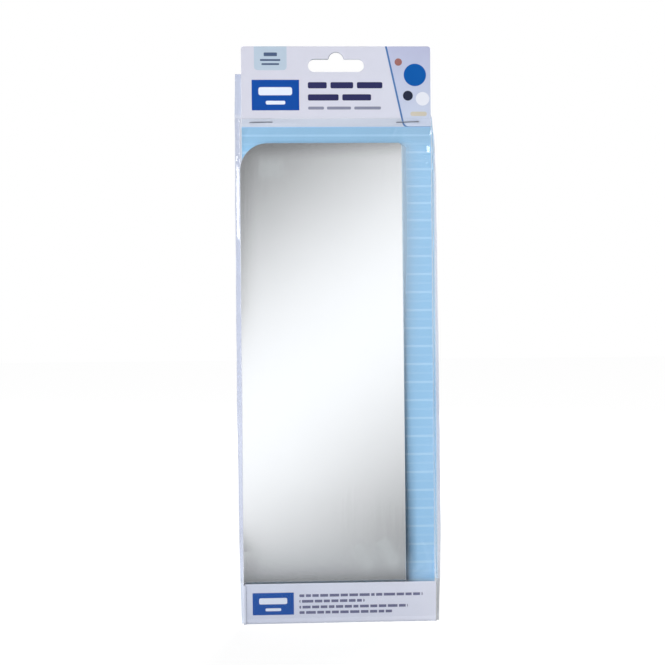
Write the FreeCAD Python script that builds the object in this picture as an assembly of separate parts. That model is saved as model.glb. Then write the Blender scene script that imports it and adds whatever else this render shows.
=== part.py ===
import FreeCAD, Part
import math
import os

from FreeCAD import Vector

# A plain icing smoother in the pack it hangs in. The steel blade stands in a pocket folded up
# from the foot of a printed card, a clear film bag covers both, and two wire staples close the
# mouth of the bag on the card.
# Sizes are in millimetres. The origin is the centre of the hang hole, half way through the card.
# +Z is up, the front faces -Y, and +X is to the right as seen from the front.

# Blade: a flat strip with one large round corner, top left as seen from the front
blade_length = 255.0
blade_width = 88.0
blade_thickness = 0.8
blade_round_corner = 15.0
blade_small_corner = 2.3
blade_edge_break = 0.15

# How the blade stands in the pack: its foot stands further off the card than its top
blade_gap_top = 0.8
blade_gap_foot = 2.2
blade_past_card = 1.0
blade_travel_down = 4.5
blade_travel_up = 8.0
blade_foot_clearance = 0.5

# Card: one sheet, its foot folded up in front of the blade as a pocket
card_thickness = 0.4
card_corner = 1.5
card_right_of_blade = 16.0
pocket_clearance = 0.6
flap_height = 22.4
flap_flare = 5.0

# Hang hole: a slot with round ends and a round hump over its middle
slot_width = 30.4
slot_height = 6.7
hump_width = 8.0
hump_rise = 3.8
hump_blend = 0.8
hole_to_card_top = 3.4

# Bag: front and back film folded at the foot and welded at the sides, the back one with a lip
film_thickness = 0.06
film_gap = 0.2
film_side_gap = 0.3
film_shoulder = 3.2
film_run_off = 12.0
film_foot_bevel = 0.4
bag_beside_card = 4.3
weld_width = 1.0
lip_height = 24.0
lip_below_hole = 1.1

# Staples: round wire, the legs pushed through and turned in behind the card
staple_wire = 0.55
staple_crown = 12.5
staple_corner = 0.34
staple_hole_gap = 0.06
staple_seat = 1.0
staple_below_mouth = 2.25
staple_left_inset = 10.5
staple_right_inset = 12.8
staple_left_tilt = 0.8
staple_right_tilt = 2.6
clinch_bend = 0.5
clinch_length = 3.4
clinch_slope = 10.0

# Heights, from the hang hole down
hole_height = slot_height + hump_rise
hole_top = hole_height / 2
hole_foot = -hole_height / 2
card_top = hole_top + hole_to_card_top
lip_top = hole_foot - lip_below_hole
mouth = lip_top - lip_height
staple_height = mouth - staple_below_mouth
film_full = staple_height - film_shoulder
blade_top = film_full - film_gap - blade_travel_up
blade_foot = blade_top - blade_length
pocket_floor = blade_foot - blade_travel_down - blade_foot_clearance
card_foot = pocket_floor - card_thickness
flap_top = card_foot + flap_height

# Places across the pack
card_width = blade_width - blade_past_card + card_right_of_blade
card_half = card_width / 2
bag_half = card_half + bag_beside_card
blade_left = -card_half - blade_past_card
blade_right = blade_left + blade_width

# Depths, from the back of the pack to the front
card_back = card_thickness / 2
card_front = -card_thickness / 2
pocket_depth = blade_gap_foot + blade_thickness + pocket_clearance
fold_inner = pocket_depth / 2
fold_outer = fold_inner + card_thickness
fold_depth = card_front - fold_inner
fold_height = card_foot + fold_outer
bag_back = card_back + film_gap + film_thickness
film_on_card = card_front - film_gap - film_thickness


def blade_front(height):
    """Depth of the blade's front face at a height, on the straight line of its lean."""
    share = (blade_top - height) / blade_length
    gap = blade_gap_top + share * (blade_gap_foot - blade_gap_top)
    return card_front - gap - blade_thickness


def flap_point(radius, height):
    """Where the flap's face of one fold radius reaches a height; it leaves the fold at its flare."""
    flare = math.radians(flap_flare)
    start = Vector(0, fold_depth - radius * math.cos(flare), fold_height - radius * math.sin(flare))
    run = (height - start.z) / math.cos(flare)
    return start + Vector(0, -math.sin(flare), math.cos(flare)) * run


def edges_through(shape, x, z):
    """The edges of a shape that run along Y at one place across and one height."""
    def runs_there(edge):
        ends = [vertex.Point for vertex in edge.Vertexes]
        return all(math.hypot(end.x - x, end.z - z) < 1e-6 for end in ends)
    return [edge for edge in shape.Edges if runs_there(edge)]


def make_blade():
    """Flat plate with three small corners and a large one, its sharp edges broken all round."""
    corner = Vector(blade_left, -blade_thickness, blade_foot)
    plate = Part.makeBox(blade_width, blade_thickness, blade_length, corner)
    radii = {
        (blade_left, blade_top): blade_round_corner,
        (blade_right, blade_top): blade_small_corner,
        (blade_left, blade_foot): blade_small_corner,
        (blade_right, blade_foot): blade_small_corner,
    }
    for (x, z), radius in radii.items():
        plate = plate.makeFillet(radius, edges_through(plate, x, z))
    wide_faces = [face for face in plate.Faces if face.BoundBox.YLength < 1e-6]
    outlines = [edge for face in wide_faces for edge in face.Edges]
    plate = plate.makeChamfer(blade_edge_break, outlines)
    lean = math.degrees(math.atan2(blade_gap_foot - blade_gap_top, blade_length))
    plate.rotate(Vector(0, 0, blade_top), Vector(1, 0, 0), -lean)
    plate.translate(Vector(0, card_front - blade_gap_top, 0))
    return plate


def hang_hole_cutter():
    """Slot with round ends and a round hump above it, right through the card."""
    end_radius = slot_height / 2
    slot_centre = hole_foot + end_radius
    straight = slot_width - slot_height
    near, through = Vector(0, -card_thickness, 0), Vector(0, 1, 0)
    depth = 2 * card_thickness
    cutter = Part.makeBox(straight, depth, slot_height, near + Vector(-straight / 2, 0, hole_foot))
    for side in (-1, 1):
        end = near + Vector(side * straight / 2, 0, slot_centre)
        cutter = cutter.fuse(Part.makeCylinder(end_radius, depth, end, through))
    hump_radius = hump_width / 2
    hump_centre = hole_top - hump_radius
    hump = Part.makeCylinder(hump_radius, depth, near + Vector(0, 0, hump_centre), through)
    cutter = cutter.fuse(hump).removeSplitter()
    slot_top = hole_foot + slot_height
    reach = math.sqrt(hump_radius ** 2 - (slot_top - hump_centre) ** 2)
    inner_corners = [edge for side in (-1, 1) for edge in edges_through(cutter, side * reach, slot_top)]
    return cutter.makeFillet(hump_blend, inner_corners)


def staple_places():
    """Name, place across and tilt in degrees of each staple."""
    return (
        ("staple_left", -card_half + staple_left_inset, staple_left_tilt),
        ("staple_right", card_half - staple_right_inset, staple_right_tilt),
    )


def set_staple(shape, x, tilt):
    """Moves a shape made about the Y axis to a staple's place and tilts it there."""
    shape.rotate(Vector(0, 0, 0), Vector(0, 1, 0), -tilt)
    shape.translate(Vector(x, 0, staple_height))
    return shape


def leg_holes():
    """One round hole for each leg of each staple, through the whole pack."""
    leg = (staple_crown - staple_wire) / 2
    radius = staple_wire / 2 + staple_hole_gap
    start = film_on_card - film_gap
    length = bag_back + film_gap - start
    holes = []
    for name, x, tilt in staple_places():
        for side in (-1, 1):
            hole = Part.makeCylinder(radius, length, Vector(side * leg, start, 0), Vector(0, 1, 0))
            holes.append(set_staple(hole, x, tilt))
    return Part.makeCompound(holes)


def make_card():
    """J-shaped sheet: tall panel, round fold at the foot and a flap that flares, with its holes."""
    flare = math.radians(flap_flare)
    outer_end = flap_point(fold_outer, fold_height - fold_outer * math.sin(flare))
    inner_end = flap_point(fold_inner, fold_height - fold_inner * math.sin(flare))
    front_edge = flap_point(fold_outer, flap_top)
    back_edge = front_edge + Vector(0, math.cos(flare), math.sin(flare)) * card_thickness
    panel_back = Vector(0, card_back, fold_height)
    panel_front = Vector(0, card_front, fold_height)
    top_back = Vector(0, card_back, card_top)
    top_front = Vector(0, card_front, card_top)
    outline = [
        Part.makeLine(panel_back, top_back),
        Part.makeLine(top_back, top_front),
        Part.makeLine(top_front, panel_front),
        Part.Arc(panel_front, Vector(0, fold_depth, pocket_floor), inner_end).toShape(),
        Part.makeLine(inner_end, back_edge),
        Part.makeLine(back_edge, front_edge),
        Part.makeLine(front_edge, outer_end),
        Part.Arc(outer_end, Vector(0, fold_depth, card_foot), panel_back).toShape(),
    ]
    sheet = Part.Face(Part.Wire(outline)).extrude(Vector(card_width, 0, 0))
    sheet.translate(Vector(-card_half, 0, 0))
    top_corners = [edge for side in (-1, 1) for edge in edges_through(sheet, side * card_half, card_top)]
    sheet = sheet.makeFillet(card_corner, top_corners)
    return sheet.cut(hang_hole_cutter()).cut(leg_holes())


def flat_faces(a, b, c, d):
    """A four-cornered face, or two triangles where the corners don't lie in one plane."""
    flat = abs((b - a).cross(c - a).dot(d - a)) < 1e-9
    corners = [(a, b, c, d)] if flat else [(a, b, c), (a, c, d)]
    return [Part.Face(Part.makePolygon([*ring, ring[0]])) for ring in corners]


def solid_through(rings):
    """Closed solid of flat faces through rings of points, one ring above the other."""
    faces = []
    for low, high in zip(rings, rings[1:]):
        for i in range(len(low)):
            j = (i + 1) % len(low)
            faces += flat_faces(low[i], low[j], high[j], high[i])
    for ring in (rings[0], rings[-1]):
        faces.append(Part.Face(Part.makePolygon([*ring, ring[0]])))
    solid = Part.Solid(Part.makeShell(faces))
    solid.fix(1e-7, 1e-7, 1e-7)
    return solid if solid.Volume > 0 else solid.reversed()


def film_sections():
    """Height, and depth of the front film over the blade and at the card's right edge.

    The film clears the blade at the top of its travel, where its lean brings it furthest out."""
    clear = film_gap + film_thickness
    outside_foot = card_foot - clear
    over_flap = flap_top + film_gap
    on_blade = over_flap + film_run_off
    on_fold = fold_depth - fold_outer - clear
    on_flap = flap_point(fold_outer, over_flap).y - clear
    return (
        (outside_foot, on_fold + film_foot_bevel, on_fold + film_foot_bevel),
        (outside_foot + 2 * film_foot_bevel, on_fold, on_fold),
        (fold_height, on_fold, on_fold),
        (over_flap, on_flap, on_flap),
        (on_blade, blade_front(on_blade - blade_travel_up) - clear, film_on_card),
        (film_full, blade_front(film_full - blade_travel_up) - clear, film_on_card),
        (staple_height - staple_seat, film_on_card, film_on_card),
        (mouth, film_on_card, film_on_card),
    )


def make_bag():
    """Flat back film, front film drawn over the contents and welded to it at both sides."""
    weld = bag_half - weld_width
    left_shoulder = blade_left - film_side_gap
    step = blade_right + film_side_gap
    right_shoulder = card_half + film_side_gap
    weld_front = bag_back - 2 * film_thickness
    outside, inside = [], []
    for height, over_blade, over_card in film_sections():
        front = ((left_shoulder, over_blade), (step, over_blade), (right_shoulder, over_card))
        back = [(x, bag_back) for x, depth in reversed(front)]
        left_edge = [(-bag_half, bag_back), (-bag_half, weld_front), (-weld, weld_front)]
        right_edge = [(weld, weld_front), (bag_half, weld_front), (bag_half, bag_back)]
        ring = [*left_edge, *front, *right_edge, *back]
        outside.append([Vector(x, depth, height) for x, depth in ring])
        seam = bag_back - film_thickness
        front_inside = [(x, depth + film_thickness) for x, depth in front]
        ring = [(-weld, seam), *front_inside, (weld, seam), *[(x, seam) for x, depth in back]]
        inside.append([Vector(x, depth, height) for x, depth in ring])
    floor_lift = Vector(0, 0, film_thickness)
    mouth_cut = Vector(0, 0, lip_height)
    inside[0] = [point + floor_lift for point in inside[0]]
    inside.append([point + mouth_cut for point in inside[-1]])
    bag = solid_through(outside).cut(solid_through(inside))
    lip_corner = Vector(-bag_half, bag_back - film_thickness, mouth)
    lip = Part.makeBox(2 * bag_half, film_thickness, lip_height, lip_corner)
    return bag.fuse(lip).cut(leg_holes())


def turn(point, heading, bend, degrees):
    """Arc in the XY plane that leaves a point along a heading and turns left: arc, end, heading."""
    left = Vector(-heading.y, heading.x, 0)
    centre = point + left * bend

    def swung(vector, angle):
        return FreeCAD.Rotation(Vector(0, 0, 1), angle).multVec(vector)

    middle = centre + swung(left * -bend, degrees / 2)
    end = centre + swung(left * -bend, degrees)
    return Part.Arc(point, middle, end).toShape(), end, swung(heading, degrees)


def make_staple(x, tilt):
    """Wire along a flat path: half the crown, a leg and its clinch, and the same mirrored."""
    radius = staple_wire / 2
    crown = film_on_card - staple_hole_gap - radius
    leg = (staple_crown - staple_wire) / 2
    slope = math.radians(clinch_slope)
    tip = bag_back + staple_hole_gap + radius
    bend_start = tip + clinch_length * math.sin(slope) - clinch_bend * math.cos(slope)
    start = Vector(0, crown, 0)
    corner = Vector(leg - staple_corner, crown, 0)
    first_arc, leg_start, heading = turn(corner, Vector(1, 0, 0), staple_corner, 90)
    leg_end = Vector(leg, bend_start, 0)
    second_arc, clinch_start, heading = turn(leg_end, heading, clinch_bend, 90 + clinch_slope)
    clinch_end = clinch_start + heading * clinch_length
    path = Part.Wire([
        Part.makeLine(start, corner),
        first_arc,
        Part.makeLine(leg_start, leg_end),
        second_arc,
        Part.makeLine(clinch_start, clinch_end),
    ])
    section = Part.Wire(Part.makeCircle(radius, start, Vector(1, 0, 0)))
    half = path.makePipeShell([section], True, False)
    whole = half.fuse(half.mirror(Vector(0, 0, 0), Vector(1, 0, 0))).removeSplitter()
    return set_staple(whole, x, tilt)


def main():
    os.makedirs("parts", exist_ok=True)
    pieces = {
        "scraper_blade": make_blade(),
        "backing_card": make_card(),
        "clear_bag": make_bag(),
    }
    for name, x, tilt in staple_places():
        pieces[name] = make_staple(x, tilt)
    for name, shape in pieces.items():
        shape.exportStep(f"parts/{name}.step")


main()
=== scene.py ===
import bpy
import numpy as np
from mathutils import Matrix


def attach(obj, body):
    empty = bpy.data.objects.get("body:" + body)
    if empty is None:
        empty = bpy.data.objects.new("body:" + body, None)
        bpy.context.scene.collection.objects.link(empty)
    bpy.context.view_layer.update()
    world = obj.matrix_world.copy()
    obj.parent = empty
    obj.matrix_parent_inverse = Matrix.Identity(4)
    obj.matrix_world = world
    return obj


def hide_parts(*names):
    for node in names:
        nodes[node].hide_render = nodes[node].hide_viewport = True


# An icing smoother in its hang pack: a steel blade in the pocket of a printed card, in a clear film bag
# closed by two staples. Lengths are in millimetres and become metres in the mesh, unless a name says metres.
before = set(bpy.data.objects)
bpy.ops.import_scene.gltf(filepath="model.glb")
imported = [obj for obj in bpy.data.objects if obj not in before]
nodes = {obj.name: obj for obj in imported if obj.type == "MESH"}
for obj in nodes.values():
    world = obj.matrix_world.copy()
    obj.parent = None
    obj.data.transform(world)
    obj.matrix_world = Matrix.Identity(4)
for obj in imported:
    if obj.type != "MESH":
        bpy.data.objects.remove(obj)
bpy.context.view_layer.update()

MM = 0.001

# Heights and depths that the film and the print follow, as in the part's source
MOUTH = -30.35
LIP_TOP = -6.35
FOLD_HEIGHT = -302.2
FOLD_REACH = 2.46
FLAP_TOP = -281.8
BACK_DEPTH = 0.42
CARD_HALF = 51.5
BLADE_LEFT = -52.5
BLADE_RIGHT = 35.5
BLADE_TOP = -44.0
PRINT_EDGE = -35.4


def linear(code):
    """Linear colour of an sRGB hex code."""
    channels = [int(code[i:i + 2], 16) / 255 for i in (1, 3, 5)]
    return (*[c / 12.92 if c <= 0.04045 else ((c + 0.055) / 1.055) ** 2.4 for c in channels], 1.0)


def add(tree, kind, inputs=None, out=0, **settings):
    """Adds a node, sets its properties, sets or links its inputs, and returns one output."""
    made = tree.nodes.new(kind)
    for name, value in settings.items():
        setattr(made, name, value)
    for key, value in (inputs or {}).items():
        if isinstance(value, bpy.types.NodeSocket):
            tree.links.new(value, made.inputs[key])
        else:
            made.inputs[key].default_value = value
    return made.outputs[out] if len(made.outputs) else made


def layered(tree, ground, *coats):
    """Colour of a ground under coats laid over it in turn. Each coat is a mask and a colour, and a colour
    is an sRGB hex code or the output of a node."""
    shown = linear(ground) if isinstance(ground, str) else ground
    for mask, coat in coats:
        colour = linear(coat) if isinstance(coat, str) else coat
        shown = add(tree, "ShaderNodeMix", {0: mask, 6: shown, 7: colour}, out=2, data_type="RGBA")
    return shown


def new_material(name):
    """An empty node material and its tree."""
    made = bpy.data.materials.new(name)
    made.use_nodes = True
    made.node_tree.nodes.clear()
    return made, made.node_tree


def smooth(value):
    """Rises from 0 to 1 with level ends."""
    held = np.clip(value, 0, 1)
    return held * held * (3 - 2 * held)


def mesh_piece(name, points, faces, material):
    """A smooth mesh object from a list of points in millimetres and four-cornered faces."""
    mesh = bpy.data.meshes.new(name)
    mesh.from_pydata(points * MM, [], faces)
    mesh.polygons.foreach_set("use_smooth", np.ones(len(faces), bool))
    mesh.materials.append(material)
    mesh.update()
    piece = bpy.data.objects.new(name, mesh)
    bpy.context.scene.collection.objects.link(piece)
    return piece


def dress(node, material):
    """Gives a CAD node one material all over."""
    mesh = nodes[node].data
    mesh.materials.clear()
    mesh.materials.append(material)


# Steel

# Rolling lines of 0.45 by 45 mm, coarser than real ones so that they show, and waves of 110 mm
LINES_PER_METRE = (2200.0, 2200.0, 22.0)
WAVES_PER_METRE = 9.0
LINE_DEPTH = 0.01
WAVE_DEPTH = 0.5

# Edges that the shears have drawn down: how far in, how deep, and at which heights on the left
DRAWN_LEFT = 12.0
DRAWN_TOP = 11.0
DRAWN_DEPTH = 0.28
DRAWN_UPPER = (-200.0, -130.0)
DRAWN_LOWER = (-235.0, -265.0)


def stainless_steel():
    """Bright rolled strip: a clear but soft reflection, fine rolling lines along its length, and edges
    that fall away with the cube of the way to them."""
    material, tree = new_material("rolled stainless steel")
    place = add(tree, "ShaderNodeTexCoord", out="Object")
    lines = add(tree, "ShaderNodeMapping", {"Vector": place, "Scale": LINES_PER_METRE})
    grain = add(tree, "ShaderNodeTexNoise", {"Vector": lines, "Scale": 1.0, "Detail": 4.0})
    waves = add(tree, "ShaderNodeTexNoise", {"Vector": place, "Scale": WAVES_PER_METRE, "Detail": 1.0})
    x = add(tree, "ShaderNodeSeparateXYZ", {0: place}, out="X")
    z = x.node.outputs["Z"]
    upper = add(tree, "ShaderNodeMapRange", {"Value": z, "From Min": DRAWN_UPPER[0] * MM,
                                             "From Max": DRAWN_UPPER[1] * MM})
    lower = add(tree, "ShaderNodeMapRange", {"Value": z, "From Min": DRAWN_LOWER[0] * MM,
                                             "From Max": DRAWN_LOWER[1] * MM})
    ends = add(tree, "ShaderNodeMath", {0: upper, 1: lower}, operation="MAXIMUM")
    left = add(tree, "ShaderNodeMapRange", {"Value": x, "From Min": (BLADE_LEFT + DRAWN_LEFT) * MM,
                                            "From Max": BLADE_LEFT * MM, "To Max": ends})
    top = add(tree, "ShaderNodeMapRange", {"Value": z, "From Min": (BLADE_TOP - DRAWN_TOP) * MM,
                                           "From Max": BLADE_TOP * MM})
    left_drop = add(tree, "ShaderNodeMath", {0: left, 1: 3.0}, operation="POWER")
    top_drop = add(tree, "ShaderNodeMath", {0: top, 1: 3.0}, operation="POWER")
    drawn = add(tree, "ShaderNodeMath", {0: left_drop, 1: top_drop}, operation="ADD")
    edges = add(tree, "ShaderNodeBump", {"Height": drawn, "Strength": 1.0, "Distance": DRAWN_DEPTH * MM},
                invert=True)
    flat = add(tree, "ShaderNodeBump", {"Height": waves, "Strength": 1.0, "Distance": WAVE_DEPTH * MM,
                                        "Normal": edges})
    fine = add(tree, "ShaderNodeBump", {"Height": grain, "Strength": 0.12, "Distance": LINE_DEPTH * MM,
                                        "Normal": flat})
    rough = add(tree, "ShaderNodeMapRange", {"Value": grain, "To Min": 0.13, "To Max": 0.23})
    tint = layered(tree, "#DADDDE", (grain, "#E3E5E6"))
    shader = add(tree, "ShaderNodeBsdfPrincipled",
                 {"Base Color": tint, "Metallic": 1.0, "Roughness": rough, "Normal": fine})
    add(tree, "ShaderNodeOutputMaterial", {"Surface": shader})
    return material


# Blotches of the zinc, about 1 mm across
BLOTCHES_PER_METRE = 900.0
BLOTCH_DEPTH = 0.02


def staple_wire():
    """Galvanised wire: grey, half dull, with the zinc's blotches."""
    material, tree = new_material("galvanised staple wire")
    place = add(tree, "ShaderNodeTexCoord", out="Object")
    blotches = add(tree, "ShaderNodeTexNoise", {"Vector": place, "Scale": BLOTCHES_PER_METRE, "Detail": 3.0})
    tint = layered(tree, "#767B86", (blotches, "#A0A5AF"))
    rough = add(tree, "ShaderNodeMapRange", {"Value": blotches, "To Min": 0.28, "To Max": 0.5})
    bumps = add(tree, "ShaderNodeBump", {"Height": blotches, "Strength": 0.3, "Distance": BLOTCH_DEPTH * MM})
    shader = add(tree, "ShaderNodeBsdfPrincipled",
                 {"Base Color": tint, "Metallic": 1.0, "Roughness": rough, "Normal": bumps})
    add(tree, "ShaderNodeOutputMaterial", {"Surface": shader})
    return material


# Card

# Half the soft edge of a printed block, and a depth that reaches through the card
INK_EDGE = 0.08
ANY_DEPTH = 1000.0


def block(tree, place, left, right, foot, top, corner):
    """Mask of a printed block with round corners, from its sides in millimetres: how far a place lies
    outside the block's core is compared with the corner's radius."""
    centre = ((left + right) / 2, 0, (foot + top) / 2)
    core = ((right - left) / 2 - corner, ANY_DEPTH, (top - foot) / 2 - corner)
    offset = add(tree, "ShaderNodeVectorMath", {0: place, 1: centre}, operation="SUBTRACT")
    spread = add(tree, "ShaderNodeVectorMath", {0: offset}, operation="ABSOLUTE")
    beyond = add(tree, "ShaderNodeVectorMath", {0: spread, 1: core}, operation="SUBTRACT")
    outside = add(tree, "ShaderNodeVectorMath", {0: beyond, 1: (0, 0, 0)}, operation="MAXIMUM")
    reach = add(tree, "ShaderNodeVectorMath", {0: outside}, out="Value", operation="LENGTH")
    return add(tree, "ShaderNodeMapRange", {"Value": reach, "From Min": corner + INK_EDGE,
                                            "From Max": corner - INK_EDGE})


# Header print, each block by its left, right, foot, top and corner: a pale tab and a blue block with plain
# bars, then rows of broad and of thin bars
TAB = [(-44.5, -26.8, -4.3, 20.0, 2.0)]
TAB_BARS = [(-39.2, -32.0, 3.3, 5.3, 0.4), (-41.2, -30.2, 0.7, 1.7, 0.3), (-40.4, -30.9, -1.5, -0.5, 0.3)]
BLUE_BLOCK = [(-45.9, -20.1, -26.1, -9.5, 0.2)]
BLOCK_BARS = [(-42.2, -24.0, -17.9, -13.5, 1.2), (-38.3, -27.7, -22.9, -20.9, 0.8)]
BROAD_BARS = [
    (-15.4, -5.1, -14.2, -10.8, 0.8), (-3.1, 9.3, -14.2, -10.8, 0.8), (11.3, 25.2, -14.2, -10.8, 0.8),
    (-15.4, 1.3, -20.8, -17.4, 0.8), (3.3, 19.0, -20.8, -17.4, 0.8),
]
THIN_BARS = [(-15.3, -6.7, -25.7, -24.1, 0.6), (-5.1, 8.0, -25.7, -24.1, 0.6), (9.8, 24.3, -25.7, -24.1, 0.6)]

# Painted shade on the rim of the hang hole, for its shaded cut edge: slot and hump, each a little larger
HOLE_RIM_SHADE = [(-15.48, 15.48, -5.53, 1.73, 3.62), (-4.28, 4.28, -3.03, 5.53, 4.27)]
RIM_SHADE_FROM = (0.6, 1.4)
RIM_SHADE_FADING = (-6.0, 8.0)

# Right end of the header: a plain pattern of discs and a bar
DISCS = [
    ("#0B57A6", [(36.9, 49.1, -13.0, -0.8, 6.1)]),
    ("#E4E7F1", [(43.4, 50.8, -23.6, -16.2, 3.7)]),
    ("#23283C", [(36.4, 41.8, -20.9, -15.5, 2.7)]),
    ("#9C6A66", [(32.0, 36.0, -1.9, 2.1, 2.0)]),
    ("#C9C3B4", [(40.4, 49.4, -29.3, -26.9, 1.2)]),
]

# Slanting rule before that end: its direction across, its place, its rounded foot and its half width
DIVIDER = (0.9771, 0.0, 0.2126)
DIVIDER_AT = 28.5
DIVIDER_FOOT = 2.6
DIVIDER_EDGE = 0.1
DIVIDER_RULE = (0.6, 0.4)

# Foot print: a blue block, and rows of thin bars broken at uneven lengths of some 5 mm
FOOT_BLOCK = [(-47.7, -25.5, -299.1, -286.9, 0.2)]
FOOT_BARS = [(-44.2, -29.1, -293.2, -289.8, 0.9), (-40.8, -32.4, -297.0, -295.4, 0.6)]
FOOT_ROWS = [
    (-22.5, 44.2, -289.5, -288.0, 0.4), (-22.5, 12.7, -292.6, -291.1, 0.4),
    (-22.5, 36.2, -295.8, -294.3, 0.4), (-22.5, 27.7, -298.8, -297.3, 0.4),
]
BREAKS_PER_MM = 0.21
BREAK = (0.07, 0.1)
ROW_SHIFT = 9.3

# Stripes of the blue field: they come closer above a height
STRIPE_STEP = 9.82
STRIPE_START = -86.0
STRIPE_CLOSING = 0.062
STRONG_HALF = 0.86
FAINT_HALF = 0.8
FAINT_SHARE = 0.35

# Heights between which the field's ink changes: paler down the card, and greyer under the header, where it is
# painted shade for the shadow below the header and above the blade's top edge
FIELD_DOWN = (-90.0, -285.0)
HEADER_SHADE_HEIGHTS = (-47.0, -40.0)

# Painted shadow beside the blade's foot, a dark blue laid over the field where the blade stands furthest off
# the card: how far out, how it sets in, and how it ends at the flap
BLADE_SHADOW_WIDTH = 6.8
BLADE_SHADOW_FROM = (-200.0, -262.0)
BLADE_SHADOW_MOST = 0.85
BLADE_SHADOW_END = (-280.0, -267.0)
BLADE_SHADOW_LEFT = 0.4

# The flap flares by 5 degrees: depth plus lean times height is the same all along its core
FLAP_LEAN = 0.0875
FLAP_CORE = -30.44
FLAP_FRONT = -2.0
BOARD_DEPTH = 0.1

# Inks that are used more than once, and the tone of the painted shade under the header
STRIPE_INK = "#ADD4F2"
HEADER_SHADE_TONE = "#8EBADB"
PALE_INK = "#DDE4F2"

# Fibres of 0.6 mm, clouds in the ink of 8 mm, and the depth of the coating's tooth
FIBRES_PER_MM = 1.6
CLOUDS_PER_MM = 0.12
TOOTH_DEPTH = 0.03


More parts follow.
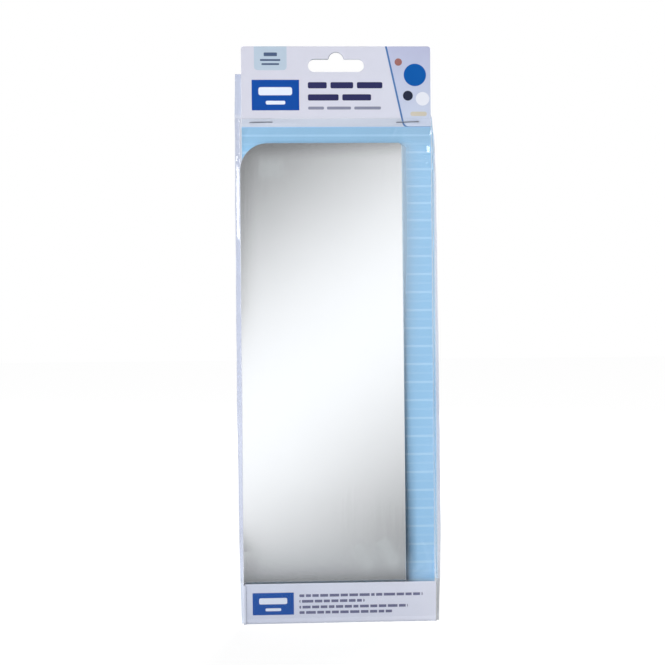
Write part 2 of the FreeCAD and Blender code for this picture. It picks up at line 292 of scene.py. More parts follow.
def printed_card():
    """Coated card: matt ink with a faint mottle, printed blocks and stripes on the front, grey board with
    fibres behind. Shade is painted into it below the film's mouth, under the header, beside the blade's foot,
    on the hang hole's upper rim and on the flap's side towards the blade."""
    material, tree = new_material("coated printed card")
    metres = add(tree, "ShaderNodeTexCoord", out="Object")
    place = add(tree, "ShaderNodeVectorMath", {0: metres, "Scale": 1 / MM}, operation="SCALE")
    x = add(tree, "ShaderNodeSeparateXYZ", {0: place}, out="X")
    y, z = x.node.outputs["Y"], x.node.outputs["Z"]

    def blocks(places):
        """Mask of several blocks: the largest of their masks."""
        mask = block(tree, place, *places[0])
        for sides in places[1:]:
            other = block(tree, place, *sides)
            mask = add(tree, "ShaderNodeMath", {0: mask, 1: other}, operation="MAXIMUM")
        return mask

    def stripes(step, half_width):
        """Mask of even stripes: how far the ruled height lies from the nearest multiple of a step."""
        away = add(tree, "ShaderNodeMath", {0: ruled, 1: step / 2}, operation="PINGPONG")
        return add(tree, "ShaderNodeMapRange", {"Value": away, "From Min": half_width,
                                                "From Max": half_width * 0.4})

    def broken_bar(sides, shift):
        """Mask of a bar with gaps: the edges of random cells along it are left out."""
        run = add(tree, "ShaderNodeMath", {0: x, 1: BREAKS_PER_MM, 2: shift}, operation="MULTIPLY_ADD")
        cells = add(tree, "ShaderNodeTexVoronoi", {"W": run, "Scale": 1.0}, voronoi_dimensions="1D",
                    feature="DISTANCE_TO_EDGE")
        whole = add(tree, "ShaderNodeMapRange", {"Value": cells, "From Min": BREAK[0], "From Max": BREAK[1]})
        bar = block(tree, place, *sides)
        return add(tree, "ShaderNodeMath", {0: whole, 1: bar}, operation="MULTIPLY")

    # Blue field with its stripes: a strong one, and a fainter one half way to the next, then painted shade
    # under the header and a painted shadow beside the blade's foot
    shifted = add(tree, "ShaderNodeMath", {0: z, 1: STRIPE_START}, operation="SUBTRACT")
    raised = add(tree, "ShaderNodeMath", {0: shifted, 1: 0.0}, operation="MAXIMUM")
    ruled = add(tree, "ShaderNodeMath", {0: raised, 1: STRIPE_CLOSING, 2: shifted}, operation="MULTIPLY_ADD")
    half = stripes(STRIPE_STEP / 2, FAINT_HALF)
    strong = stripes(STRIPE_STEP, STRONG_HALF)
    faint = add(tree, "ShaderNodeMath", {0: half, 1: FAINT_SHARE}, operation="MULTIPLY")
    down = add(tree, "ShaderNodeMapRange", {"Value": z, "From Min": FIELD_DOWN[0], "From Max": FIELD_DOWN[1]})
    # Painted shade: the field and its stripes are greyer just under the header
    header_shade = add(tree, "ShaderNodeMapRange", {"Value": z, "From Min": HEADER_SHADE_HEIGHTS[0],
                                             "From Max": HEADER_SHADE_HEIGHTS[1]})
    stripes_in_shade = add(tree, "ShaderNodeMath", {0: header_shade, 1: 0.5}, operation="MULTIPLY")
    # Painted shadow: the field is darkened beside the blade's foot
    beside = add(tree, "ShaderNodeMapRange", {"Value": x, "From Min": BLADE_RIGHT + BLADE_SHADOW_WIDTH,
                                              "From Max": BLADE_RIGHT})
    setting_in = add(tree, "ShaderNodeMapRange", {"Value": z, "From Min": BLADE_SHADOW_FROM[0],
                                                  "From Max": BLADE_SHADOW_FROM[1], "To Max": BLADE_SHADOW_MOST})
    ending = add(tree, "ShaderNodeMapRange", {"Value": z, "From Min": BLADE_SHADOW_END[0],
                                              "From Max": BLADE_SHADOW_END[1], "To Min": BLADE_SHADOW_LEFT})
    lower = add(tree, "ShaderNodeMath", {0: setting_in, 1: ending}, operation="MULTIPLY")
    blade_shadow = add(tree, "ShaderNodeMath", {0: beside, 1: lower}, operation="MULTIPLY")
    field = layered(tree, "#93C4E8", (down, "#9AC8ED"), (header_shade, HEADER_SHADE_TONE), (faint, STRIPE_INK),
                    (strong, STRIPE_INK), (stripes_in_shade, HEADER_SHADE_TONE), (blade_shadow, "#3A5570"))

    # Header
    # Painted shade: below the film's mouth the header is a shade darker, for the film's dimming
    base = add(tree, "ShaderNodeMapRange", {"Value": z, "From Min": MOUTH, "From Max": MOUTH - 0.6})
    along = add(tree, "ShaderNodeMapRange", {"Value": x, "From Min": -40.0, "From Max": 28.0})
    header = layered(tree, "#CBCCD9", (along, "#D3D5E3"), (base, "#C4CBDA"), (blocks(TAB), "#B2C2D2"),
                     (blocks(TAB_BARS), "#4A5A78"), (blocks(BLUE_BLOCK), "#0C479B"),
                     (blocks(BLOCK_BARS), PALE_INK), (blocks(BROAD_BARS), "#2B2C56"),
                     (blocks(THIN_BARS), "#83879C"))

    # Right end of the header, past a slanting rule that turns level at its foot
    across = add(tree, "ShaderNodeVectorMath", {0: place, 1: DIVIDER}, out="Value", operation="DOT_PRODUCT")
    short_x = add(tree, "ShaderNodeMath", {0: DIVIDER_AT + DIVIDER_FOOT, 1: across}, operation="SUBTRACT")
    short_z = add(tree, "ShaderNodeMath", {0: PRINT_EDGE + DIVIDER_FOOT, 1: z}, operation="SUBTRACT")
    short = add(tree, "ShaderNodeCombineXYZ", {"X": short_x, "Z": short_z})
    corner = add(tree, "ShaderNodeVectorMath", {0: short, 1: (0, 0, 0)}, operation="MAXIMUM")
    round_off = add(tree, "ShaderNodeVectorMath", {0: corner}, out="Value", operation="LENGTH")
    past = add(tree, "ShaderNodeMath", {0: DIVIDER_FOOT, 1: round_off}, operation="SUBTRACT")
    side = add(tree, "ShaderNodeMapRange", {"Value": past, "From Min": -DIVIDER_EDGE,
                                            "From Max": DIVIDER_EDGE})
    upwards = add(tree, "ShaderNodeMapRange", {"Value": z, "From Min": -34.0, "From Max": 8.0})
    discs = [(blocks(places), colour) for colour, places in DISCS]
    panel = layered(tree, "#C6D0E4", (upwards, "#B8BDD9"), *discs)
    off = add(tree, "ShaderNodeMath", {0: past}, operation="ABSOLUTE")
    rule = add(tree, "ShaderNodeMapRange", {"Value": off, "From Min": DIVIDER_RULE[0],
                                            "From Max": DIVIDER_RULE[1]})

    # Painted shade on the upper rim of the hang hole
    upper_side = add(tree, "ShaderNodeMapRange", {"Value": z, "From Min": RIM_SHADE_FROM[0],
                                                  "From Max": RIM_SHADE_FROM[1]})
    fading = add(tree, "ShaderNodeMapRange", {"Value": x, "From Min": RIM_SHADE_FADING[0],
                                              "From Max": RIM_SHADE_FADING[1],
                                              "To Min": 1.0, "To Max": 0.25})
    shaded = add(tree, "ShaderNodeMath", {0: upper_side, 1: fading}, operation="MULTIPLY")
    rim = add(tree, "ShaderNodeMath", {0: shaded, 1: blocks(HOLE_RIM_SHADE)}, operation="MULTIPLY")
    header = layered(tree, header, (side, panel), (rule, "#4C76AE"), (rim, "#66727F"))

    # Foot flap: print in front; its side towards the blade is blue like the field and darker still, a painted
    # shade for the dark gap between flap and blade
    rightwards = add(tree, "ShaderNodeMapRange", {"Value": x, "From Min": -50.0, "From Max": 50.0})
    rows = [(broken_bar(sides, row * ROW_SHIFT), "#6E7090") for row, sides in enumerate(FOOT_ROWS)]
    leaned = add(tree, "ShaderNodeMath", {0: z, 1: FLAP_LEAN, 2: y}, operation="MULTIPLY_ADD")
    far = add(tree, "ShaderNodeMath", {0: leaned, 1: FLAP_CORE}, operation="GREATER_THAN")
    straight = add(tree, "ShaderNodeMath", {0: z, 1: FOLD_HEIGHT}, operation="GREATER_THAN")
    inside = add(tree, "ShaderNodeMath", {0: far, 1: straight}, operation="MULTIPLY")
    foot = layered(tree, "#CED4E5", (rightwards, "#E0E3F1"), (blocks(FOOT_BLOCK), "#1F52A4"),
                   (blocks(FOOT_BARS), PALE_INK), *rows, (inside, "#6A8CA8"))

    # Which print is where: header above the print's edge, flap in front, plain board behind
    above = add(tree, "ShaderNodeMapRange", {"Value": z, "From Min": PRINT_EDGE - INK_EDGE,
                                             "From Max": PRINT_EDGE + INK_EDGE})
    edge_off = add(tree, "ShaderNodeMath", {0: z, 1: PRINT_EDGE}, operation="SUBTRACT")
    edge_away = add(tree, "ShaderNodeMath", {0: edge_off}, operation="ABSOLUTE")
    edge_line = add(tree, "ShaderNodeMapRange", {"Value": edge_away, "From Min": 0.42, "From Max": 0.2})
    on_flap = add(tree, "ShaderNodeMath", {0: y, 1: FLAP_FRONT}, operation="LESS_THAN")
    fibres = add(tree, "ShaderNodeTexNoise", {"Vector": place, "Scale": FIBRES_PER_MM, "Detail": 6.0,
                                              "Roughness": 0.7})
    board = layered(tree, "#CFCDC8", (fibres, "#E6E4DF"))
    behind = add(tree, "ShaderNodeMath", {0: y, 1: BOARD_DEPTH}, operation="GREATER_THAN")
    shown = layered(tree, field, (above, header), (edge_line, "#8FBBE2"), (on_flap, foot), (behind, board))

    # Faint mottle in the ink, and the coating's fine tooth
    clouds = add(tree, "ShaderNodeTexNoise", {"Vector": place, "Scale": CLOUDS_PER_MM, "Detail": 3.0})
    depth = add(tree, "ShaderNodeMapRange", {"Value": clouds, "To Min": 0.97, "To Max": 1.03})
    mottled = add(tree, "ShaderNodeVectorMath", {0: shown, "Scale": depth}, operation="SCALE")
    rough = add(tree, "ShaderNodeMapRange", {"Value": fibres, "To Min": 0.42, "To Max": 0.56})
    tooth = add(tree, "ShaderNodeBump", {"Height": fibres, "Strength": 0.15, "Distance": TOOTH_DEPTH * MM})
    shader = add(tree, "ShaderNodeBsdfPrincipled",
                 {"Base Color": mottled, "Roughness": rough, "Normal": tooth, "Specular IOR Level": 0.12})
    add(tree, "ShaderNodeOutputMaterial", {"Surface": shader})
    return material


# Film bag

# Where the haze changes its tint: inner sides of the welds, outer part of the right one, edge of the left
# one at the flap, blade's right edge, and heights above the flap where the left weld grows paler
WELD_INNER = 50.5
RIGHT_OUTER = (52.7, 53.7)
LEFT_END = (-53.0, -52.6)
BESIDE_BLADE = BLADE_RIGHT - 0.4
LEFT_PALER = (26.0, 8.0)

# Smudges of 17 mm in the film's gloss, and its shares of mirrored light: flat, on a crease, at a slant
SMUDGES_PER_METRE = 60.0
FLAT_GLOSS = 0.045
CREASE_GLOSS = 0.06
SLANT_GLOSS = 0.25


def clear_film():
    """Clear glossy film: it shows as reflections, brighter on its creases and with the fifth power of the
    slant, and as a pale haze where two layers lie welded. The haze also carries a painted glare and painted
    sheen, and its tint holds some painted shade."""
    material, tree = new_material("clear polypropylene film")
    haze = add(tree, "ShaderNodeAttribute", out="Fac", attribute_name="haze")
    place = add(tree, "ShaderNodeTexCoord", out="Object")
    smudges = add(tree, "ShaderNodeTexNoise", {"Vector": place, "Scale": SMUDGES_PER_METRE, "Detail": 3.0})
    rough = add(tree, "ShaderNodeMapRange", {"Value": smudges, "To Min": 0.05, "To Max": 0.13})
    clear = add(tree, "ShaderNodeBsdfTransparent", {"Color": (1, 1, 1, 1)})
    x = add(tree, "ShaderNodeSeparateXYZ", {0: place}, out="X")
    z = x.node.outputs["Z"]
    low = add(tree, "ShaderNodeMath", {0: z, 1: FLAP_TOP * MM}, operation="LESS_THAN")
    inner = add(tree, "ShaderNodeMath", {0: x, 1: -WELD_INNER * MM}, operation="GREATER_THAN")
    beside = add(tree, "ShaderNodeMath", {0: x, 1: BESIDE_BLADE * MM}, operation="GREATER_THAN")
    right = add(tree, "ShaderNodeMath", {0: x, 1: WELD_INNER * MM}, operation="GREATER_THAN")
    outer = add(tree, "ShaderNodeMapRange", {"Value": x, "From Min": RIGHT_OUTER[0] * MM,
                                             "From Max": RIGHT_OUTER[1] * MM})
    over_flap = add(tree, "ShaderNodeMapRange", {"Value": x, "From Min": LEFT_END[0] * MM,
                                                 "From Max": LEFT_END[1] * MM})
    paler = add(tree, "ShaderNodeMapRange", {"Value": z, "From Min": (FLAP_TOP + LEFT_PALER[0]) * MM,
                                             "From Max": (FLAP_TOP + LEFT_PALER[1]) * MM})
    # Painted shade: by the flap the right weld's haze is darker, for the flap edge's shadow
    right_weld = layered(tree, "#88D0FF", (outer, "#B4C0D8"), (low, "#7791B0"))
    left_end = layered(tree, "#CAD1DE", (over_flap, "#D8DEEE"))
    # Inside the welds and beside the blade the tint is that of the painted sheen and glare
    tint = layered(tree, "#B2BBD3", (paler, "#CCD5E9"), (low, left_end), (inner, "#E4ECEE"),
                   (beside, "#D8EEFF"), (right, right_weld))
    cloudy = add(tree, "ShaderNodeBsdfDiffuse", {"Color": tint})
    body = add(tree, "ShaderNodeMixShader", {0: haze, 1: clear, 2: cloudy})
    gloss = add(tree, "ShaderNodeBsdfGlossy", {"Color": (1, 1, 1, 1), "Roughness": rough})
    facing = add(tree, "ShaderNodeLayerWeight", {"Blend": 0.5}, out="Facing")
    grazing = add(tree, "ShaderNodeMath", {0: facing, 1: 5.0}, operation="POWER")
    crease = add(tree, "ShaderNodeAttribute", out="Fac", attribute_name="crease")
    least = add(tree, "ShaderNodeMapRange", {"Value": crease, "To Min": FLAT_GLOSS, "To Max": CREASE_GLOSS})
    mirrored = add(tree, "ShaderNodeMapRange", {"Value": grazing, "To Min": least, "To Max": SLANT_GLOSS})
    shader = add(tree, "ShaderNodeMixShader", {0: mirrored, 1: body, 2: gloss})
    add(tree, "ShaderNodeOutputMaterial", {"Surface": shader})
    return material


# Pleats of the front film: from x, z to x, z, half width and height
PLEATS = np.array([
    # below the staple legs
    (-47.2, -33.6, -49.6, -41.0, 0.8, 0.16), (-34.8, -33.6, -31.8, -40.0, 0.8, 0.16),
    (32.8, -33.8, 29.8, -41.0, 0.8, 0.16), (45.0, -33.8, 49.2, -42.5, 0.8, 0.22),
    # upper right corner
    (51.8, -40.0, 52.0, -36.6, 0.9, 0.90), (51.4, -49.8, 51.3, -44.4, 2.0, 1.55),
    (52.5, -58.6, 52.7, -54.8, 0.8, 0.80), (48.2, -50.0, 49.8, -56.5, 0.6, 0.48),
    # left margin
    (-54.6, -53.4, -53.6, -50.4, 0.6, 0.60),
    # right margin
    (52.9, -134.0, 53.1, -147.0, 0.4, 0.26), (52.8, -92.0, 52.6, -104.0, 0.4, 0.20),
    # above the flap
    (51.4, -281.0, 44.0, -262.0, 0.9, 0.40), (40.0, -277.0, 46.0, -274.0, 0.9, 0.35),
    (37.0, -281.0, 37.8, -252.0, 0.9, 0.25),
])
FULL_CREASE = 0.8

# Painted sheen on the film, as pale haze above the flap and at the blade's upper left: from x, z to x, z,
# half width and strength of the haze
PAINTED_SHEEN = np.array([
    (22.0, -260.5, 31.5, -275.0, 4.6, 0.24), (9.0, -262.5, 17.5, -276.0, 4.8, 0.16),
    (-42.0, -57.4, -28.0, -58.8, 5.5, 0.15),
])

# Outer edges of the welds: heights, and how far out at each
LEFT_WELD = ((-305, -300, -278, -237, -183, -80, -31, -6),
             (-53.6, -53.9, -54.6, -55.0, -55.4, -55.3, -55.2, -54.8))
RIGHT_WELD = ((-305, -280, -262, -228, -146, -64, -42, -36, -30, -26, -6),
              (53.6, 54.65, 55.05, 55.15, 54.75, 54.2, 53.4, 52.6, 52.2, 51.3, 51.2))

# Waves of those edges, long and short
LONG_WAVE = 0.07
SHORT_WAVE = 0.04

# Depths of the front film: on the card, on the flap at fold and top, and on the blade, which it climbs to
# from a height over a run and then follows by a slope
ON_CARD = -0.46
ON_FLAP = (-4.46, -6.25)
CLIMB_FROM = -33.4
CLIMB_RUN = 2.4
CLIMB = 1.59
BLADE_SLOPE = 0.00547

# Tents above the flap, over the blade and over the card: how far out at the flap, and length of the fall
BLADE_TENT = (2.85, 9.0)
CARD_TENT = (5.79, 8.0)

# Left weld: its inner end and shoulder, and a part of its height that tilts forward
INNER_LEFT = -52.85
SHOULDER = -52.68
TILT = 1.05
TILT_TOP = -54.0
TILT_FOOT = -101.0

# Rows of the mesh, columns of each run of the chain, and softness of the corners between runs
DENSE_FOOT = -62.0
ROWS = (90, 215, 14, 100)
COLUMNS = (6, 8, 8, 84, 56, 10, 4)
BENDS = (0.3, 0.06, 0.06, 0.3, 0.3, 0.3)

# Slack: height of the ripples in front and behind, and a lift of the mouth between the staples
FRONT_RIPPLE = 0.05
BACK_RIPPLE = 0.02
MOUTH_LIFT = 0.5
LIFT_FALL = 2.2
LIFT_LEFT = -34.5
LIFT_WIDTH = 67.0

# Haze: everywhere, at cut edges, beside the blade's upper right edge as a painted glare that lightens its
# shadow, and on each side's margin
CLEAR_HAZE = 0.015
RIM_HAZE = 0.12
RIM_FALL = 0.5
STEP_GLARE = 0.50
STEP_FALL = 4.0
STEP_FOOT = -215.0
STEP_RUN = 130.0
FRONT_LEFT_HAZE = 0.34
FRONT_LEFT_AT_FLAP = 0.56
FRONT_RIGHT_HAZE = 0.20
FRONT_RIGHT_BY_CARD = 0.3
BACK_LEFT_HAZE = 0.62
BACK_LEFT_AT_LIP = 0.22
BACK_LEFT_AT_FLAP = -0.16
BACK_RIGHT_HAZE = 0.46
BACK_RIGHT_HALF_WAY = 0.28
HALF_WAY = -205.0
HALF_WAY_REACH = 42.0

# Sides from which the margins are hazy: front left at the flap, front right beside the card, back left
FLAP_MARGIN = 1.35
CARD_MARGIN = 53.1
BACK_MARGIN = -51.4


def ridges(table, x, z):
    """Sum of ridges: each is a bell across its line, and fades at the ends of the line."""
    x0, z0, x1, z1, width, height = (table[:, i][:, None, None] for i in range(6))
    run_x, run_z = x1 - x0, z1 - z0
    length = np.hypot(run_x, run_z)
    along = ((x - x0) * run_x + (z - z0) * run_z) / length ** 2
    away = ((x - x0) * run_z - (z - z0) * run_x) / length
    ends = smooth(along * 4 + 0.6) * smooth((1 - along) * 2.5 + 0.3)
    return (height * np.exp(-(away / width) ** 2) * ends).sum(axis=0)


def ripple(x, z):
    """Slow waves of slack film: the mean of three crossed sines of some 20 to 100 mm."""
    first = np.sin(x / 5.3 + z / 9.1)
    second = np.sin(z / 6.7 - x / 11.0 + 1.0)
    third = np.sin(z / 3.1 + x / 17.0 + 2.0)
    return (first + second + third) / 3


def film_bag():
    """The film as one sheet, from the mouth down the front, round the foot and up the back to the lip.

    Across, each row is a chain of straight runs from weld to weld over the blade and the card, with its
    corners rounded: the chain's direction changes are added with a soft hinge along its length, tightest
    at the blade's left edge, and the columns crowd towards the corners. Down the front, the chain's depths
    follow the blade, then the flap. Round the foot, front and back are joined by half a turn. Pleats and
    ripples stand out from the front; the back has ripples alone."""
    dense, plain, round_foot, behind = ROWS
    front = np.concatenate([np.linspace(MOUTH, DENSE_FOOT, dense)[:-1],
                            np.linspace(DENSE_FOOT, FOLD_HEIGHT, plain)])
    angle = np.linspace(0, np.pi, round_foot)[1:-1]
    back = np.linspace(FOLD_HEIGHT, LIP_TOP, behind)
    height = np.concatenate([front, np.full(len(angle), FOLD_HEIGHT), back])
    turn = np.concatenate([np.zeros(len(front)), angle, np.full(len(back), np.pi)])

    # Chain of each row: where its knots are
    left_wave = LONG_WAVE * np.sin(height / 9 + 1) + SHORT_WAVE * np.sin(height / 3.7)
    right_wave = LONG_WAVE * np.sin(height / 8 + 2) + SHORT_WAVE * np.sin(height / 4.1)
    left = np.interp(height, *LEFT_WELD) + left_wave
    right = np.interp(height, *RIGHT_WELD) + right_wave
    on_flap = np.interp(height, [FOLD_HEIGHT, FLAP_TOP], ON_FLAP)
    climbed = CLIMB_FROM - CLIMB_RUN - height
    on_blade = ON_CARD - smooth((CLIMB_FROM - height) / CLIMB_RUN) * (CLIMB + climbed * BLADE_SLOPE)
    above_flap = np.maximum(height - FLAP_TOP, 0)
    tent_blade = on_blade - BLADE_TENT[0] * np.exp(-above_flap / BLADE_TENT[1])
    tent_card = ON_CARD - CARD_TENT[0] * np.exp(-above_flap / CARD_TENT[1])
    over_blade = np.where(height > FLAP_TOP, tent_blade, on_flap)
    over_card = np.where(height > FLAP_TOP, tent_card, on_flap)
    level = np.full(len(height), BACK_DEPTH - 0.02)
    tilt = level - TILT * smooth((TILT_TOP - height) / 4) * smooth((height - TILT_FOOT) / 14)
    inner_left = np.full(len(height), INNER_LEFT)
    shoulder = np.full(len(height), SHOULDER)
    step = np.full(len(height), BLADE_RIGHT + 0.4)
    card_edge = np.minimum(CARD_HALF + 0.3, right - 0.4)
    left_knee = left + 0.35 * (inner_left - left)
    right_knee = right + 0.55 * (card_edge - right)
    knot_x = np.stack([left, left_knee, inner_left, shoulder, step, card_edge, right_knee, right], axis=1)
    knot_y = np.stack([level, level, tilt, over_blade, over_blade, over_card, level, level], axis=1)

    # Points along the chain, with its corners rounded
    runs_x, runs_y = np.diff(knot_x, axis=1), np.diff(knot_y, axis=1)
    length = np.hypot(runs_x, runs_y)
    reached = np.concatenate([np.zeros((len(height), 1)), np.cumsum(length, axis=1)], axis=1)
    crowded = [run + smooth(np.linspace(0, 1, count + 1)[1:]) for run, count in enumerate(COLUMNS)]
    share = np.concatenate([[0.0], *crowded])
    first = np.minimum(share.astype(int), len(COLUMNS) - 1)
    along = reached[:, first] + length[:, first] * (share - first)
    way_x, way_y = runs_x / length, runs_y / length
    x = knot_x[:, :1] + way_x[:, :1] * along
    y = knot_y[:, :1] + way_y[:, :1] * along
    for k, bend in enumerate(BENDS, start=1):
        past = along - reached[:, k:k + 1]
        hinge = (past + np.sqrt(past ** 2 + bend ** 2)) / 2
        x = x + (way_x[:, k:k + 1] - way_x[:, k - 1:k]) * hinge
        y = y + (way_y[:, k:k + 1] - way_y[:, k - 1:k]) * hinge

    # Slack in front and behind, and the half turn at the foot
    z = np.repeat(height[:, None], len(share), axis=1)
    inside = smooth((x - left[:, None] - 0.5) / 1.2) * smooth((right[:, None] - 0.3 - x) / 1.0)
    below_mouth = smooth((MOUTH - z) / 8)
    between = np.sin(np.pi * np.clip((x - LIFT_LEFT) / LIFT_WIDTH, 0, 1)) ** 2
    lift = MOUTH_LIFT * np.exp((z - MOUTH) / LIFT_FALL) * between
    slack = inside * (ridges(PLEATS, x, z) + lift + FRONT_RIPPLE * below_mouth * (1 + ripple(x, z)))
    front_y = np.where(turn[:, None] > 0, y, y - slack)
    back_y = BACK_DEPTH + BACK_RIPPLE * inside * ripple(x, z)
    middle, half = (back_y + front_y) / 2, (back_y - front_y) / 2
    depth = middle - half * np.cos(turn)[:, None]
    z = z - FOLD_REACH * np.sin(turn)[:, None]

    rows, columns = x.shape
    ids = np.arange(rows * columns).reshape(rows, columns)
    faces = np.stack([ids[:-1, :-1], ids[1:, :-1], ids[1:, 1:], ids[:-1, 1:]], axis=-1).reshape(-1, 4)
    points = np.stack([x, depth, z], axis=-1).reshape(-1, 3)
    piece = mesh_piece("clear_film_bag", points, faces, clear_film())

    # Haze on the welds, the margins and the cut edges, painted glare beside the blade and painted sheen, and
    # the share of a crease
    is_front = np.cos(turn)[:, None] > 0
    on_left = x < 0
    by_flap = smooth(FLAP_TOP - z)
    at_lip = smooth(z - MOUTH)
    half_way = np.exp(-((z - HALF_WAY) / HALF_WAY_REACH) ** 2)
    left_front = smooth((BLADE_LEFT + FLAP_MARGIN * by_flap - x) / 0.3)
    front_beside = left_front + smooth((x - CARD_HALF - 0.2) / 0.4)
    back_beside = smooth((BACK_MARGIN - x) / 0.3) + smooth((x - CARD_HALF + 0.1) / 0.3)
    rim = np.where(is_front, np.exp((z - MOUTH) / RIM_FALL), np.exp((z - LIP_TOP) / RIM_FALL))
    past_blade = x > BLADE_RIGHT - 0.3
    step_fall = np.exp(-np.maximum(x - BLADE_RIGHT, 0) / STEP_FALL)
    step_height = smooth((z - STEP_FOOT) / STEP_RUN) * smooth((BLADE_TOP + 1 - z) / 4)
    painted_glare = past_blade * step_fall * step_height
    front_left = FRONT_LEFT_HAZE + FRONT_LEFT_AT_FLAP * by_flap
    front_right = FRONT_RIGHT_HAZE + FRONT_RIGHT_BY_CARD * smooth((CARD_MARGIN - x) / 0.7)
    front_margin = np.where(on_left, front_left, front_right) * front_beside
    front_haze = front_margin + STEP_GLARE * painted_glare + ridges(PAINTED_SHEEN, x, z)
    back_left = BACK_LEFT_HAZE + BACK_LEFT_AT_LIP * at_lip + BACK_LEFT_AT_FLAP * by_flap
    back_right = BACK_RIGHT_HAZE + BACK_RIGHT_HALF_WAY * half_way
    back_haze = np.where(on_left, back_left, back_right) * back_beside
    haze = CLEAR_HAZE + np.where(is_front, front_haze, back_haze) + RIM_HAZE * rim
    crease = np.where(is_front, ridges(PLEATS, x, z) / FULL_CREASE, 0)
    for name, amount in (("haze", haze), ("crease", crease)):
        values = piece.data.attributes.new(name, "FLOAT", "POINT")
        values.data.foreach_set("value", np.clip(amount, 0, 1).ravel())
    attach(piece, "pack")
    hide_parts("clear_bag")
    return piece


# Studio

# Camera: near, and a little to the left, so that the pack's lines run as they do in the photograph
EYE = (-25.9, -602.9, -144.4)
YAW, PITCH, ROLL = np.radians((2.16, -0.24, 0.51))
LENS = 60.0
SENSOR = 36.0
CLIP_END_METRES = 50.0

# Room and floor: strength of the room's light, floor's height and half side, and how much the floor is lifted
# near the pack and far from it
ROOM_LIGHT = 0.12
FLOOR_HEIGHT = -305.0
FLOOR_HALF = 5000.0
FLOOR_LIFT = (0.86, 0.95)
LIFT_REACH_METRES = (0.4, 1.4)
SPECKS_PER_METRE = 30.0

# Lamps: power in watts, place, and sizes in metres
AIM = np.array((0.0, 0.0, -150.0))
KEY_POWER = 34.5
KEY_PLACE = np.array((-1310.0, -1090.0, 110.0))
KEY_METRES = (1.5, 0.8)
BACK_POWER = 16.0
BACK_PLACE = np.array((500.0, 1100.0, 450.0))
BACK_METRES = (1.0, 1.0)
BOUNCE_POWER = 1.1
BOUNCE_PLACE_METRES = (-0.4, -0.26, -0.302)
BOUNCE_METRES = (0.8, 0.4)

# Reflector card: half width, upright part's depth and top, near end, and height over the floor
REFLECTOR_SIDE = 330.0
REFLECTOR_AHEAD = -600.0
REFLECTOR_HIGH = 230.0
REFLECTOR_NEAR = -9.0
REFLECTOR_OVER_FLOOR = 2.0

# Its tones, by places in metres: from, to, and the share that is taken away. A band across it by its slant,
# its right side, its left side close to the foot, and the dim part at the foot
BAND_SLANT = (-0.749, -0.214, 1)
BAND_LEVEL = 1.44
BAND_ABOVE = (-0.04, 0.318, 1.27)
BAND_BELOW = (-0.078, -0.357, 0.93)
RIGHT_DIM = (0.0, 0.08, 0.25)
RIGHT_CLOSE = (-0.52, -0.24)
LEFT_DIM = (-0.042, -0.062, 0.5)
LEFT_FROM_FAR = (-0.26, -0.19)
LEFT_FROM_FOOT = (-0.108, -0.142)
FOOT_FROM = (-0.25, -0.11)
FOOT_FALL = (-0.14, -0.1)
FOOT_LEVELS = (0.66, 0.06)


def in_sight(tree):
    """1 for a ray from the camera, also by way of metal or film, and 0 for one from a matt surface."""
    seen = add(tree, "ShaderNodeLightPath", out="Is Camera Ray")
    mirrored, through = seen.node.outputs["Is Glossy Ray"], seen.node.outputs["Is Transmission Ray"]
    bounces = seen.node.outputs["Diffuse Depth"]
    either = add(tree, "ShaderNodeMath", {0: seen, 1: mirrored}, operation="MAXIMUM")
    shown = add(tree, "ShaderNodeMath", {0: either, 1: through}, operation="MAXIMUM")
    straight = add(tree, "ShaderNodeMath", {0: bounces, 1: 0.5}, operation="LESS_THAN")
    return add(tree, "ShaderNodeMath", {0: shown, 1: straight}, operation="MULTIPLY")


def floor_material():
    """Plain pale floor: it sends light on as paper does, shows as white, and keeps a faint shadow."""
    material, tree = new_material("pale studio floor")
    place = add(tree, "ShaderNodeTexCoord", out="Object")
    specks = add(tree, "ShaderNodeTexNoise", {"Vector": place, "Scale": SPECKS_PER_METRE})
    paper = layered(tree, "#E6E6E6", (specks, "#EAEAEA"))
    seen = in_sight(tree)
    tone = layered(tree, paper, (seen, "#969696"))
    shade = add(tree, "ShaderNodeBsdfDiffuse", {"Color": tone})
    away = add(tree, "ShaderNodeVectorMath", {0: place}, out="Value", operation="LENGTH")
    lift = add(tree, "ShaderNodeMapRange", {"Value": away, "From Min": LIFT_REACH_METRES[0],
                                            "From Max": LIFT_REACH_METRES[1],
                                            "To Min": FLOOR_LIFT[0], "To Max": FLOOR_LIFT[1]})
    strength = add(tree, "ShaderNodeMath", {0: seen, 1: lift}, operation="MULTIPLY")
    glow = add(tree, "ShaderNodeEmission", {"Color": (1, 1, 1, 1), "Strength": strength})
    shader = add(tree, "ShaderNodeAddShader", {0: shade, 1: glow})
    add(tree, "ShaderNodeOutputMaterial", {"Surface": shader})
    return material


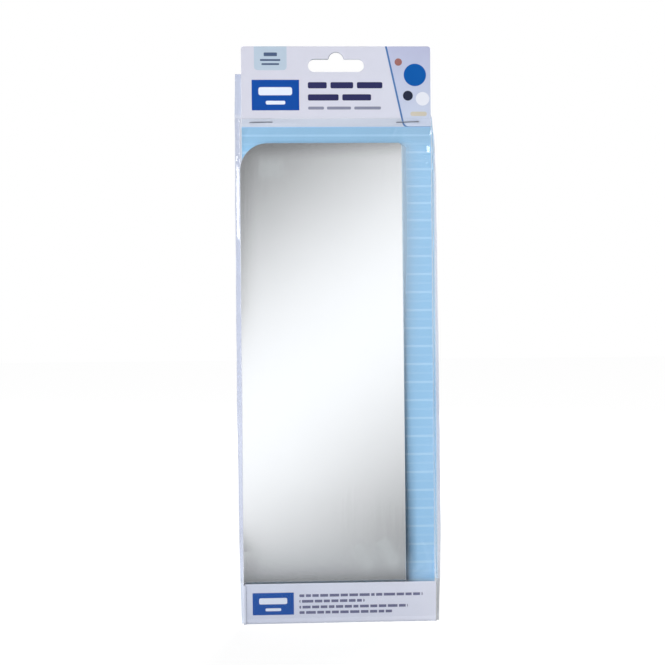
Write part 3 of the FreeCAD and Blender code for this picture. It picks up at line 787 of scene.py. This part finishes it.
def soft_card_material():
    """Soft-edged light for the steel to mirror: a bright slanting band that falls away to grey above and
    below, dimmer at the right and at the near left, and a dim part close to the pack's foot."""
    material, tree = new_material("graded reflector card")
    place = add(tree, "ShaderNodeTexCoord", out="Object")
    x = add(tree, "ShaderNodeSeparateXYZ", {0: place}, out="X")
    y = x.node.outputs["Y"]

    # Slanting band
    slant = add(tree, "ShaderNodeVectorMath", {0: place, 1: BAND_SLANT}, out="Value", operation="DOT_PRODUCT")
    above = add(tree, "ShaderNodeMapRange", {"Value": slant, "From Min": BAND_ABOVE[0],
                                             "From Max": BAND_ABOVE[1], "To Max": BAND_ABOVE[2]},
                interpolation_type="SMOOTHSTEP")
    below = add(tree, "ShaderNodeMapRange", {"Value": slant, "From Min": BAND_BELOW[0],
                                             "From Max": BAND_BELOW[1], "To Max": BAND_BELOW[2]},
                interpolation_type="SMOOTHSTEP")
    off_band = add(tree, "ShaderNodeMath", {0: above, 1: below}, operation="ADD")

    # Right side, close to the pack
    aside = add(tree, "ShaderNodeMapRange", {"Value": x, "From Min": RIGHT_DIM[0], "From Max": RIGHT_DIM[1],
                                             "To Max": RIGHT_DIM[2]})
    close = add(tree, "ShaderNodeMapRange", {"Value": y, "From Min": RIGHT_CLOSE[0],
                                             "From Max": RIGHT_CLOSE[1]})
    dark = add(tree, "ShaderNodeMath", {0: aside, 1: close, 2: off_band}, operation="MULTIPLY_ADD")
    graded = add(tree, "ShaderNodeMath", {0: BAND_LEVEL, 1: dark}, operation="SUBTRACT")

    # Dim part at the foot
    near = add(tree, "ShaderNodeMapRange", {"Value": y, "From Min": FOOT_FROM[0], "From Max": FOOT_FROM[1]},
               interpolation_type="SMOOTHSTEP")
    foot = add(tree, "ShaderNodeMapRange", {"Value": y, "From Min": FOOT_FALL[0], "From Max": FOOT_FALL[1],
                                            "To Min": FOOT_LEVELS[0], "To Max": FOOT_LEVELS[1]})
    joined = add(tree, "ShaderNodeMix", {0: near, 2: graded, 3: foot})

    # Left side, close to the foot
    corner = add(tree, "ShaderNodeMapRange", {"Value": x, "From Min": LEFT_DIM[0], "From Max": LEFT_DIM[1],
                                              "To Max": LEFT_DIM[2]})
    from_far = add(tree, "ShaderNodeMapRange", {"Value": y, "From Min": LEFT_FROM_FAR[0],
                                                "From Max": LEFT_FROM_FAR[1]})
    from_foot = add(tree, "ShaderNodeMapRange", {"Value": y, "From Min": LEFT_FROM_FOOT[0],
                                                 "From Max": LEFT_FROM_FOOT[1]})
    reach = add(tree, "ShaderNodeMath", {0: from_far, 1: from_foot}, operation="MULTIPLY")
    dimmed = add(tree, "ShaderNodeMath", {0: corner, 1: reach}, operation="MULTIPLY")
    kept = add(tree, "ShaderNodeMath", {0: 1.0, 1: dimmed}, operation="SUBTRACT")
    level = add(tree, "ShaderNodeMath", {0: joined, 1: kept}, operation="MULTIPLY")

    strength = add(tree, "ShaderNodeMath", {0: in_sight(tree), 1: level}, operation="MULTIPLY")
    tone = layered(tree, "#FDFDFF", (near, "#F1F5FC"))
    shader = add(tree, "ShaderNodeEmission", {"Color": tone, "Strength": strength})
    add(tree, "ShaderNodeOutputMaterial", {"Surface": shader})
    return material


def aim(lamp, place, target):
    """Puts a lamp at a place in millimetres and points it at a target."""
    back = (place - target) / np.linalg.norm(place - target)
    side = np.cross((0, 0, 1), back)
    side = side / np.linalg.norm(side)
    up = np.cross(back, side)
    basis = np.eye(4)
    basis[:3, :4] = np.stack([side, up, back, place * MM], axis=1)
    lamp.matrix_world = Matrix(basis.tolist())


def area_lamp(name, power, size):
    """A rectangular lamp of a power in watts and a size in metres."""
    light = bpy.data.lights.new(name, "AREA")
    light.shape = "RECTANGLE"
    light.size, light.size_y = size
    light.energy = power
    lamp = bpy.data.objects.new(name, light)
    bpy.context.scene.collection.objects.link(lamp)
    return lamp


def studio():
    """Floor, reflector card, key, back and bounce lamps, and white room."""
    corners = np.array([(-1, -1), (1, -1), (1, 1), (-1, 1)]) * FLOOR_HALF
    wide = np.column_stack([corners, np.full(4, FLOOR_HEIGHT)])
    floor = mesh_piece("studio_floor", wide, np.array([(0, 1, 2, 3)]), floor_material())

    bend = FLOOR_HEIGHT + REFLECTOR_OVER_FLOOR
    profile = ((REFLECTOR_AHEAD, REFLECTOR_HIGH), (REFLECTOR_AHEAD, bend), (REFLECTOR_NEAR, bend))
    bent = np.array([(x, y, z) for y, z in profile for x in (-REFLECTOR_SIDE, REFLECTOR_SIDE)])
    card = mesh_piece("reflector_card", bent, np.array([(0, 1, 3, 2), (2, 3, 5, 4)]), soft_card_material())
    card.visible_camera = False
    card.visible_diffuse = False
    card.visible_transmission = False
    card.visible_shadow = False

    key = area_lamp("key", KEY_POWER, KEY_METRES)
    aim(key, KEY_PLACE, AIM)
    back = area_lamp("back", BACK_POWER, BACK_METRES)
    back.visible_camera = False
    aim(back, BACK_PLACE, AIM)
    bounce = area_lamp("bounce", BOUNCE_POWER, BOUNCE_METRES)
    bounce.visible_camera = False
    bounce.visible_glossy = False
    bounce.visible_transmission = False
    bounce.matrix_world = Matrix.Translation(BOUNCE_PLACE_METRES) @ Matrix.Rotation(np.pi, 4, "X")

    world = bpy.data.worlds.new("white room")
    world.use_nodes = True
    tree = world.node_tree
    tree.nodes.clear()
    strength = add(tree, "ShaderNodeMapRange", {"Value": in_sight(tree), "To Min": ROOM_LIGHT, "To Max": 1.0})
    sky = add(tree, "ShaderNodeBackground", {"Color": (1, 1, 1, 1), "Strength": strength})
    add(tree, "ShaderNodeOutputWorld", {"Surface": sky})
    bpy.context.scene.world = world


def camera():
    """Camera at the photograph's viewing angle: turned by yaw, pitch and roll from straight on."""
    data = bpy.data.cameras.new("camera")
    data.sensor_width = SENSOR
    data.lens = LENS
    data.clip_end = CLIP_END_METRES
    eye = bpy.data.objects.new("camera", data)
    bpy.context.scene.collection.objects.link(eye)
    ahead = np.array((np.sin(YAW) * np.cos(PITCH), np.cos(YAW) * np.cos(PITCH), np.sin(PITCH)))
    level = np.array((np.cos(YAW), -np.sin(YAW), 0))
    upright = np.cross(level, ahead)
    side = level * np.cos(ROLL) - upright * np.sin(ROLL)
    up = upright * np.cos(ROLL) + level * np.sin(ROLL)
    basis = np.eye(4)
    basis[:3, :4] = np.stack([side, up, -ahead, np.array(EYE) * MM], axis=1)
    eye.matrix_world = Matrix(basis.tolist())
    bpy.context.scene.camera = eye


wire = staple_wire()
dress("scraper_blade", stainless_steel())
dress("backing_card", printed_card())
dress("staple_left", wire)
dress("staple_right", wire)
bag = film_bag()
studio()
camera()

bpy.context.scene.view_settings.view_transform = "Standard"
